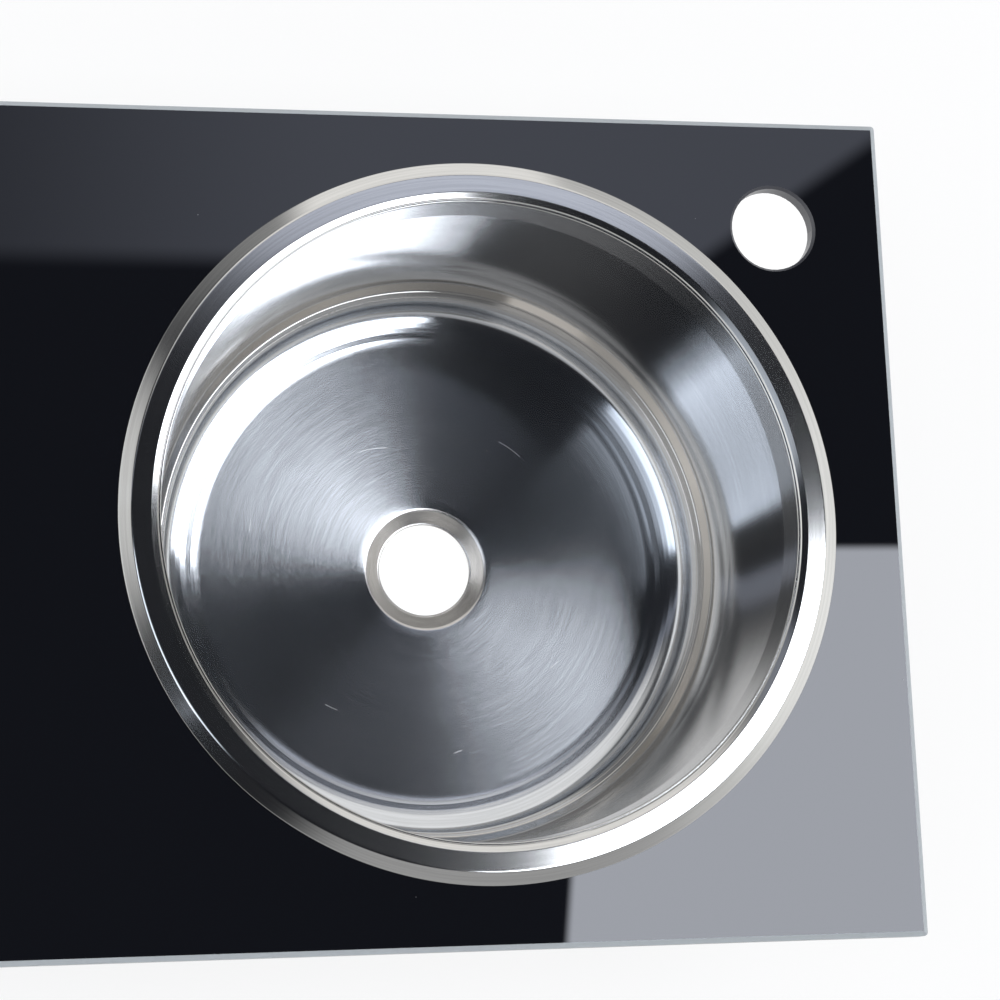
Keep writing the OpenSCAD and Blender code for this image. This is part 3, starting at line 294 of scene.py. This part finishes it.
def pale_floor():
    """A plain pale floor that glows white to the eye and still shows the object's shadow, lifted by painted
    light under the holes.
    """
    reach, height = FLOOR_REACH, BOWL_LOW.z - FLOOR_GAP
    mesh = bpy.data.meshes.new("floor")
    mesh.from_pydata([(-reach, -reach, height), (reach, -reach, height), (reach, reach, height),
                      (-reach, reach, height)], [], [(0, 1, 2, 3)])
    mesh.materials.append(floor_material(height))
    floor = bpy.data.objects.new("floor", mesh)
    bpy.context.scene.collection.objects.link(floor)


# The camera hangs above the front left of the bowl and tilts back towards its middle.
CAMERA_PLACE = (-0.0513, -0.2374, 1.2825)
CAMERA_TURN = (11.247, -12.663, -2.468)
CAMERA_LENS = 109.68
CAMERA_SENSOR = 36


def camera():
    """The camera of the photo's view."""
    data = bpy.data.cameras.new("camera")
    data.sensor_width = CAMERA_SENSOR
    data.lens = CAMERA_LENS
    eye = bpy.data.objects.new("camera", data)
    bpy.context.scene.collection.objects.link(eye)
    eye.location = CAMERA_PLACE
    eye.rotation_euler = [math.radians(angle) for angle in CAMERA_TURN]
    bpy.context.scene.camera = eye


# Black glass: a dark coat under a clear gloss, dust on top, and grey ground edges with a painted highlight
# on their arrises. The wall of the tap hole is painted darker than the other edges, as shade. The faces are
# told apart by the height of their normals.
GLASS_TONE = (0.0060, 0.0065, 0.0090)
UNDERSIDE_TONE = (0.012, 0.012, 0.013)
DUST_TONE = (0.35, 0.35, 0.37)
GROUND_TONE = (0.17, 0.19, 0.20)
# A painted highlight on the arrises, and painted shade on the wall of the tap hole.
ARRIS_HIGHLIGHT_TONE = (0.42, 0.45, 0.47)
TAP_WALL_SHADE_TONE = (0.045, 0.046, 0.056)
TAP_PLACE = (0.378, 0.135)
TAP_REACH = (0.024, 0.028)
EDGE_HEIGHTS = (0.97, 0.995)
ARRIS_HIGHLIGHT_HEIGHTS = (0.15, 0.35)
UNDERSIDE_HEIGHTS = (-0.95, -0.90)
DUST = {"scale": 34.0, "size": (0.006, 0.012), "strength": 0.35}
GLASS_IOR = 1.70
GLASS_SHEEN = (0.96, 0.965, 1.0)
GLASS_ROUGH, GLASS_HAZE, HAZE_SCALE = 0.002, 0.01, 14.0
EDGE_ROUGH, UNDERSIDE_ROUGH = 0.28, 0.45
GROUND_SCALE, GROUND_DEPTH, GROUND_STRENGTH = 900.0, 0.0001, 0.4


def glass_tone(tree, spot, height, edge, under):
    """Black with dust, a dull underside, a grey ground edge with painted highlights on its arrises outside
    the tap hole, and painted shade on the tap hole's wall.
    """
    body = tint(tree, specks(tree, spot, **DUST), rgba(GLASS_TONE), rgba(DUST_TONE))
    body = tint(tree, under, body, rgba(UNDERSIDE_TONE))
    away = vector_calc(tree, "DISTANCE", spot, (*TAP_PLACE, DECK_Z)).outputs["Value"]
    outside = fade(tree, away, *TAP_REACH)
    # Painted shade: the wall of the tap hole is darker than the ground edges outside it.
    ground = tint(tree, outside, rgba(TAP_WALL_SHADE_TONE), rgba(GROUND_TONE))
    # Painted highlight: the arrises outside the tap hole are lighter than the ground edge.
    arris_highlight = calc(tree, "MULTIPLY", outside, fade(tree, calc(tree, "ABSOLUTE", height), *ARRIS_HIGHLIGHT_HEIGHTS))
    return tint(tree, edge, body, tint(tree, arris_highlight, ground, rgba(ARRIS_HIGHLIGHT_TONE)))


def glass_gloss(tree, spot, edge, under):
    """Clear with a faint haze, matt on the ground edges and the underside."""
    gloss = calc(tree, "MULTIPLY_ADD", grain(tree, spot, HAZE_SCALE, 3.0), GLASS_HAZE, GLASS_ROUGH)
    gloss = calc(tree, "MAXIMUM", gloss, calc(tree, "MULTIPLY", edge, EDGE_ROUGH))
    return calc(tree, "MAXIMUM", gloss, calc(tree, "MULTIPLY", under, UNDERSIDE_ROUGH))


def black_glass():
    """The plate's glass."""
    material, tree, shader = new_material("black_glass")
    spot = object_place(tree)
    height = split(tree, add(tree, "ShaderNodeNewGeometry").outputs["Normal"])[2]
    edge = fade(tree, calc(tree, "ABSOLUTE", height), *EDGE_HEIGHTS, 1.0, 0.0)
    under = fade(tree, height, *UNDERSIDE_HEIGHTS, 1.0, 0.0)
    link(tree, shader, "Base Color", glass_tone(tree, spot, height, edge, under))
    link(tree, shader, "Roughness", glass_gloss(tree, spot, edge, under))
    shader.inputs["IOR"].default_value = GLASS_IOR
    shader.inputs["Specular Tint"].default_value = rgba(GLASS_SHEEN)
    relief = calc(tree, "MULTIPLY", grain(tree, spot, GROUND_SCALE, 2.0), edge)
    bump = add(tree, "ShaderNodeBump", {"Height": relief, "Distance": GROUND_DEPTH,
                                        "Strength": GROUND_STRENGTH})
    link(tree, shader, "Normal", bump.outputs[0])
    return material


# Light scratches on the bowl's floor from its axis: x, y, direction in degrees and length, in millimetres.
# Each one bows, and fades between these shares of its length from its middle.
SCRATCHES = [(43.7, 58.7, -36, 15.7), (-23.0, 58.5, 8, 17.0), (61.0, -47.0, 38, 6.0),
             (-48.0, -66.0, 154, 8.0), (12.0, -88.0, 20, 5.0), (-84.0, 21.0, 80, 7.0)]
SCRATCH_WIDTH = 0.22
SCRATCH_BOW = 12.0
SCRATCH_FADE = (0.3, 0.5)
WORN_SPECKS = {"scale": 40.0, "size": (0.006, 0.014), "strength": 0.7}
WORN_ROUGH = 0.6

# The steels of the bowl. Spread is how much the gloss runs across the rings of the lathe, relief how much
# the rings bump, stray how far the grain's direction strays from them in turns, and lines how much the brush
# lines change the tone.
STEELS = {
    "rim_steel": {"rough": 0.09, "spread": 0.35, "relief": 0.05, "stray": 0.01, "lines": 0.05,
                  "colour": (0.655, 0.655, 0.650)},
    "wall_steel": {"rough": 0.075, "spread": 0.8, "stray": 0.02, "lines": 0.05,
                   "colour": (0.620, 0.608, 0.594)},
    # The floor's steel is painted bluer than the rest of the same sheet: a painted reflection tint.
    "base_steel": {"rough": 0.128, "spread": 0.92, "stray": 0.06, "lines": 0.06,
                   "colour": (0.655, 0.678, 0.712), "worn": True},
    "seat_steel": {"rough": 0.26, "spread": 0.3, "stray": 0.02, "lines": 0.05,
                   "colour": (0.620, 0.608, 0.594)},
}

# Noise drawn out along the rings: fineness across them per metre, sweep round the axis, and detail.
FINE_RINGS = (2600.0, 5.0, 2.0)
BROAD_RINGS = (300.0, 1.6, 1.0)
BRUSH_RINGS = (1300.0, 2.6, 3.0)
STRANDS = (1600.0, 20.0, 2.0)
BRUSH_RANGE = (0.32, 0.68)
RING_DEPTH = 0.00002
CLOUD_SCALE, CLOUD_SHARE = 18.0, 0.25
QUARTER_TURN = 0.25


def scratched(tree, parts):
    """How much of a scratch runs through the place."""
    shown = None
    for x, y, direction, length in SCRATCHES:
        cos, sin = math.cos(math.radians(direction)), math.sin(math.radians(direction))
        east, north = calc(tree, "SUBTRACT", parts[0], x * MM), calc(tree, "SUBTRACT", parts[1], y * MM)
        along = calc(tree, "MULTIPLY_ADD", east, cos, calc(tree, "MULTIPLY", north, sin))
        across = calc(tree, "MULTIPLY_ADD", north, cos, calc(tree, "MULTIPLY", east, -sin))
        away = calc(tree, "ABSOLUTE", along)
        bowed = calc(tree, "MULTIPLY_ADD", calc(tree, "POWER", away, 2.0), SCRATCH_BOW, across)
        start, end = (share * length * MM for share in SCRATCH_FADE)
        line = calc(tree, "MULTIPLY", fade(tree, away, start, end, 1.0, 0.0),
                    fade(tree, calc(tree, "ABSOLUTE", bowed), 0.0, SCRATCH_WIDTH * MM, 1.0, 0.0))
        shown = line if shown is None else calc(tree, "MAXIMUM", shown, line)
    return shown


def rings(tree, turn, along, fineness, sweep, detail):
    """A noise drawn out along the rings of the lathe."""
    x, y = calc(tree, "MULTIPLY", turn[0], sweep), calc(tree, "MULTIPLY", turn[1], sweep)
    return grain(tree, joined(tree, x, y, calc(tree, "MULTIPLY", along, fineness)), 1.0, detail)


def steel_gloss(tree, spot, parts, fine, rough, lines, worn):
    """The roughness: cloudy, ringed and, where worn, with scratches and specks."""
    cloud = centred(tree, grain(tree, spot, CLOUD_SCALE, 3.0))
    gloss = calc(tree, "MULTIPLY_ADD", cloud, rough * CLOUD_SHARE, rough)
    gloss = calc(tree, "MULTIPLY_ADD", centred(tree, fine), rough * lines * 2, gloss)
    if not worn:
        return gloss
    marks = calc(tree, "MAXIMUM", scratched(tree, parts), specks(tree, spot, **WORN_SPECKS))
    return calc(tree, "MAXIMUM", gloss, calc(tree, "MULTIPLY", marks, WORN_ROUGH))


def spun_steel(name, rough, spread, stray, lines, colour, relief=0.0, worn=False):
    """Steel polished on a lathe: fine rings round the bowl's axis, a gloss spread across them."""
    material, tree, shader = new_material(name)
    spot = object_place(tree)
    parts = split(tree, spot)
    flat = joined(tree, parts[0], parts[1], 0.0)
    turn = split(tree, vector_calc(tree, "NORMALIZE", flat).outputs[0])
    along = calc(tree, "SUBTRACT", vector_calc(tree, "LENGTH", flat).outputs["Value"], parts[2])
    bump = add(tree, "ShaderNodeBump", {"Height": rings(tree, turn, along, *BROAD_RINGS),
                                        "Distance": RING_DEPTH, "Strength": relief})
    link(tree, shader, "Normal", bump.outputs[0])
    brush = fade(tree, rings(tree, turn, along, *BRUSH_RINGS), *BRUSH_RANGE)
    dark, light = ([channel * share for channel in colour] for share in (1 - lines, 1 + lines))
    link(tree, shader, "Base Color", tint(tree, brush, rgba(dark), rgba(light)))
    fine = rings(tree, turn, along, *FINE_RINGS)
    link(tree, shader, "Roughness", steel_gloss(tree, spot, parts, fine, rough, lines, worn))
    shader.inputs["Metallic"].default_value = 1.0
    shader.inputs["Anisotropic"].default_value = spread
    strand = centred(tree, rings(tree, turn, along, *STRANDS))
    link(tree, shader, "Anisotropic Rotation", calc(tree, "MULTIPLY_ADD", strand, stray, QUARTER_TURN))
    tangent = add(tree, "ShaderNodeTangent", direction_type="RADIAL", axis="Z")
    link(tree, shader, "Tangent", tangent.outputs[0])
    return material


# The bowl's section from its outer edge inwards: radius, height above the deck and rounding, in millimetres.
FLANGE_LINE = [(160, 0, 0), (160, 0.35, 0.3), (154.2, 2.8, 2.0), (146.0, 2.8, 1.5), (143.4, 2.3, 0.4),
               (142.9, 1.8, 0.3), (141.8, 1.8, 0.8)]
WALL_LINE = [(140.2, -14, 30), (135.4, -84, 80), (133.5, -105, 1.5), (130.5, -108.2, 0.5),
             (130.1, -109.1, 0.3), (129.7, -109.2, 0.3), (128.6, -111.9, 0.5), (128.3, -112.8, 0.3),
             (128.0, -112.9, 0.3), (127.3, -116.6, 0.4)]
BASE_LINE = [(127.3, -128.7, 6.2), (118, -132.3, 31), (29, -135, 4), (22.8, -138.5, 0.8), (22, -138.5, 0)]
FLANGE_END = Vector(FLANGE_LINE[-1][:2])
WALL_END = Vector(WALL_LINE[-1][:2])
FLANGE_THICK = 1.5
SEAT_RADIUS = 29.6
SHEET = 0.8

# The flange rests on the deck outside this radius.
RESTING_RADIUS = 148.0

# The floor is a shallow dish between these radii: its slope at radius zero and what each millimetre adds.
DISH_OUTER, DISH_INNER = 112.0, 30.0
DISH_SLOPE, DISH_BEND = 0.0160, 0.00017
DISH_STEP = 4.0
DISH_GAP = 0.5

BOWL_SIDES = 256
ARC_STEP = math.radians(6)
ARC_LEAST = 3
CUT_SHARE = 0.49
SHARP_CUT = 0.01
END_STEP = 0.35


def with_ends(start, end):
    """The start of a stretch and, where it is long, points near both ends that keep its shading straight."""
    run = end - start
    if run.length < 4 * END_STEP:
        return [start]
    step = run.normalized() * END_STEP
    return [start, start + step, end - step]


def arc(before, corner, after):
    """The points that replace a corner: an arc, or the corner itself where it has no rounding."""
    here = Vector(corner[:2])
    to_before, to_after = Vector(before[:2]) - here, Vector(after[:2]) - here
    bend = math.pi - to_before.angle(to_after)
    cut = corner[2] * math.tan(bend / 2)
    cut = min(cut, to_before.length * CUT_SHARE, to_after.length * CUT_SHARE)
    if cut < SHARP_CUT:
        return [here]
    radius = cut / math.tan(bend / 2)
    start = here + to_before.normalized() * cut
    inward = (to_before.normalized() + to_after.normalized()).normalized()
    centre = here + inward * math.hypot(cut, radius)
    spoke = start - centre
    sign = 1 if to_before.cross(to_after) < 0 else -1
    steps = max(ARC_LEAST, math.ceil(bend / ARC_STEP))
    points = []
    for step in range(steps + 1):
        angle = sign * bend * step / steps
        points.append(centre + Vector((spoke.x * math.cos(angle) - spoke.y * math.sin(angle),
                                       spoke.x * math.sin(angle) + spoke.y * math.cos(angle))))
    return points


def rounded(corners):
    """The line through the corners with an arc at each one that has a rounding."""
    line = [Vector(corners[0][:2])]
    for before, corner, after in zip(corners, corners[1:], corners[2:]):
        line += arc(before, corner, after)
    line.append(Vector(corners[-1][:2]))
    return [point for pair in zip(line, line[1:]) for point in with_ends(*pair)] + [line[-1]]


def dish(line):
    """The line with its long straight floor bent to a shallow dish."""
    end = next(index for index, point in enumerate(line) if point.x <= DISH_INNER)
    foot = line[end]
    reach = math.ceil((DISH_OUTER - foot.x) / DISH_STEP)
    bent = []
    for step in range(reach):
        radius = DISH_OUTER + (foot.x - DISH_OUTER) * step / reach
        rise = DISH_SLOPE * (radius - foot.x) + DISH_BEND * (radius ** 2 - foot.x ** 2) / 2
        bent.append(Vector((radius, foot.y + rise)))
    return [point for point in line if point.x > DISH_OUTER + DISH_GAP] + bent + line[end:]


def offset(line, distance):
    """The line moved sideways by the distance."""
    moved = []
    for index, point in enumerate(line):
        before, after = line[max(index - 1, 0)], line[min(index + 1, len(line) - 1)]
        run = (after - before).normalized()
        moved.append(point + Vector((run.y, -run.x)) * distance)
    return moved


def section():
    """The closed outline of the sheet: its upper side inwards, then its lower side outwards."""
    upper = dish(rounded(FLANGE_LINE + WALL_LINE + BASE_LINE))
    lower = [Vector((point.x, max(point.y, 0.0) if point.x > RESTING_RADIUS else point.y))
             for point in offset(upper, -SHEET)]
    return upper + lower[::-1]


def steel_of(middle):
    """The name of the steel at this place of the section."""
    if middle.x < SEAT_RADIUS:
        return "seat_steel"
    if middle.x > FLANGE_END.x and middle.y > FLANGE_END.y - FLANGE_THICK:
        return "rim_steel"
    return "wall_steel" if middle.y > WALL_END.y else "base_steel"


def spun(outline):
    """The mesh of the outline turned round the bowl's axis."""
    mesh = bpy.data.meshes.new("bowl_skin")
    form = bmesh.new()
    rows = []
    for side in range(BOWL_SIDES):
        angle = 2 * math.pi * side / BOWL_SIDES
        rows.append([form.verts.new((point.x * MM * math.cos(angle), point.x * MM * math.sin(angle),
                                     point.y * MM)) for point in outline])
    follows = [(index + 1) % len(outline) for index in range(len(outline))]
    slots = [list(STEELS).index(steel_of((outline[index] + outline[follow]) / 2))
             for index, follow in enumerate(follows)]
    for here, there in zip(rows, rows[1:] + rows[:1]):
        for index, follow in enumerate(follows):
            face = form.faces.new((here[index], here[follow], there[follow], there[index]))
            face.smooth = True
            face.material_index = slots[index]
    bmesh.ops.recalc_face_normals(form, faces=form.faces)
    form.to_mesh(mesh)
    form.free()
    return mesh


def spun_bowl():
    """The whole bowl as one closed sheet, in place of the CAD bowl."""
    mesh = spun(section())
    for name, spec in STEELS.items():
        mesh.materials.append(spun_steel(name, **spec))
    bowl = bpy.data.objects.new("bowl_skin", mesh)
    bpy.context.scene.collection.objects.link(bowl)
    bowl.location = (BOWL_X, BOWL_Y, DECK_Z)
    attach(bowl, "worktop_unit")
    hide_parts("sink_bowl")


# Each finish: two tones, gloss from smooth to rough, share of metal, grain per metre and depth of relief.
FINISHES = {
    "foam_seal": {"tones": ((0.030, 0.030, 0.033), (0.060, 0.060, 0.065)), "rough": (0.85, 0.97),
                  "cell": 1800, "relief": 0.0003},
    "black_rubber": {"tones": ((0.018, 0.018, 0.019), (0.032, 0.032, 0.033)), "rough": (0.50, 0.68),
                     "cell": 900, "relief": 0.00008},
    "zinc_sheet": {"tones": ((0.46, 0.47, 0.49), (0.62, 0.63, 0.64)), "rough": (0.30, 0.46), "metal": 1.0,
                   "cell": 130, "relief": 0.00003, "spangle": True},
    "silicone": {"tones": ((0.62, 0.62, 0.60), (0.74, 0.74, 0.72)), "rough": (0.35, 0.50),
                 "cell": 300, "relief": 0.00020},
    "zinc_screw": {"tones": ((0.55, 0.55, 0.58), (0.68, 0.68, 0.70)), "rough": (0.22, 0.36), "metal": 1.0,
                   "cell": 700, "relief": 0.00004},
    "cast_alloy": {"tones": ((0.47, 0.47, 0.465), (0.62, 0.62, 0.61)), "rough": (0.38, 0.55), "metal": 1.0,
                   "cell": 1500, "relief": 0.00016},
    "brass": {"tones": ((0.60, 0.42, 0.16), (0.78, 0.60, 0.28)), "rough": (0.20, 0.34), "metal": 1.0,
              "cell": 500, "relief": 0.00004},
    "polished_steel": {"tones": ((0.62, 0.61, 0.59), (0.72, 0.71, 0.69)), "rough": (0.12, 0.22),
                       "metal": 1.0, "cell": 350, "relief": 0.00003},
    "ceramic": {"tones": ((0.76, 0.75, 0.70), (0.86, 0.85, 0.81)), "rough": (0.14, 0.25),
                "cell": 500, "relief": 0.00004},
    "copper": {"tones": ((0.52, 0.25, 0.14), (0.78, 0.44, 0.28)), "rough": (0.24, 0.42), "metal": 1.0,
               "cell": 260, "relief": 0.00004},
    "black_enamel": {"tones": ((0.012, 0.012, 0.013), (0.024, 0.024, 0.026)), "rough": (0.26, 0.38),
                     "cell": 1100, "relief": 0.00005},
    "enamelled_iron": {"tones": ((0.014, 0.014, 0.015), (0.030, 0.030, 0.032)), "rough": (0.38, 0.60),
                       "cell": 1200, "relief": 0.00022},
    "steel_tube": {"tones": ((0.50, 0.51, 0.52), (0.64, 0.65, 0.66)), "rough": (0.26, 0.40), "metal": 1.0,
                   "cell": 400, "relief": 0.00004},
    "spring_steel": {"tones": ((0.38, 0.38, 0.39), (0.52, 0.52, 0.53)), "rough": (0.25, 0.38), "metal": 1.0,
                     "cell": 700, "relief": 0.00003},
    "knob_black": {"tones": ((0.020, 0.020, 0.022), (0.034, 0.034, 0.036)), "rough": (0.32, 0.46),
                   "cell": 1600, "relief": 0.00006},
    "module_black": {"tones": ((0.040, 0.040, 0.043), (0.062, 0.062, 0.066)), "rough": (0.48, 0.62),
                     "cell": 1300, "relief": 0.00008},
    "lead_silicone": {"tones": ((0.62, 0.59, 0.54), (0.76, 0.73, 0.67)), "rough": (0.45, 0.60),
                      "cell": 400, "relief": 0.00006},
}
DRIFT_SCALE = 22.0
TONE_RANGE, GLOSS_RANGE = (0.3, 0.7), (0.25, 0.75)
RELIEF_STRENGTH = 0.6


def finish(name, tones, rough, cell, relief, metal=0.0, spangle=False):
    """A finish whose tone and gloss drift over the piece, with a fine relief of its own."""
    material, tree, shader = new_material(name)
    spot = object_place(tree)
    if spangle:
        crystals = add(tree, "ShaderNodeTexVoronoi", {"Vector": spot, "Scale": float(cell)})
        fine = add(tree, "ShaderNodeSeparateColor", {0: crystals.outputs["Color"]}).outputs[0]
    else:
        fine = grain(tree, spot, float(cell), 3.0)
    drift = grain(tree, spot, DRIFT_SCALE, 3.0)
    tone = calc(tree, "MULTIPLY_ADD", fine, 0.5, calc(tree, "MULTIPLY", drift, 0.5))
    share = fade(tree, tone, *TONE_RANGE)
    link(tree, shader, "Base Color", tint(tree, share, rgba(tones[0]), rgba(tones[1])))
    link(tree, shader, "Roughness", fade(tree, tone, *GLOSS_RANGE, *rough))
    shader.inputs["Metallic"].default_value = metal
    bump = add(tree, "ShaderNodeBump", {"Height": fine, "Distance": relief, "Strength": RELIEF_STRENGTH})
    link(tree, shader, "Normal", bump.outputs[0])
    return material


def dress():
    """Gives every node of the part its finish by its material slot."""
    made = {name: finish(name, **spec) for name, spec in FINISHES.items()}
    made["black_glass"] = black_glass()
    made["bowl_steel"] = finish("bowl_steel", **FINISHES["polished_steel"])
    for row in frame["record"]["subparts"]:
        piece = frame["nodes"][row["node"]]
        for slot in piece.material_slots:
            slot.material = made[row["material_slot"]]


def main():
    """Builds everything that the render needs round the CAD pieces."""
    camera()
    studio()
    pale_floor()
    dress()
    spun_bowl()
    bpy.context.scene.view_settings.view_transform = "Standard"


main()
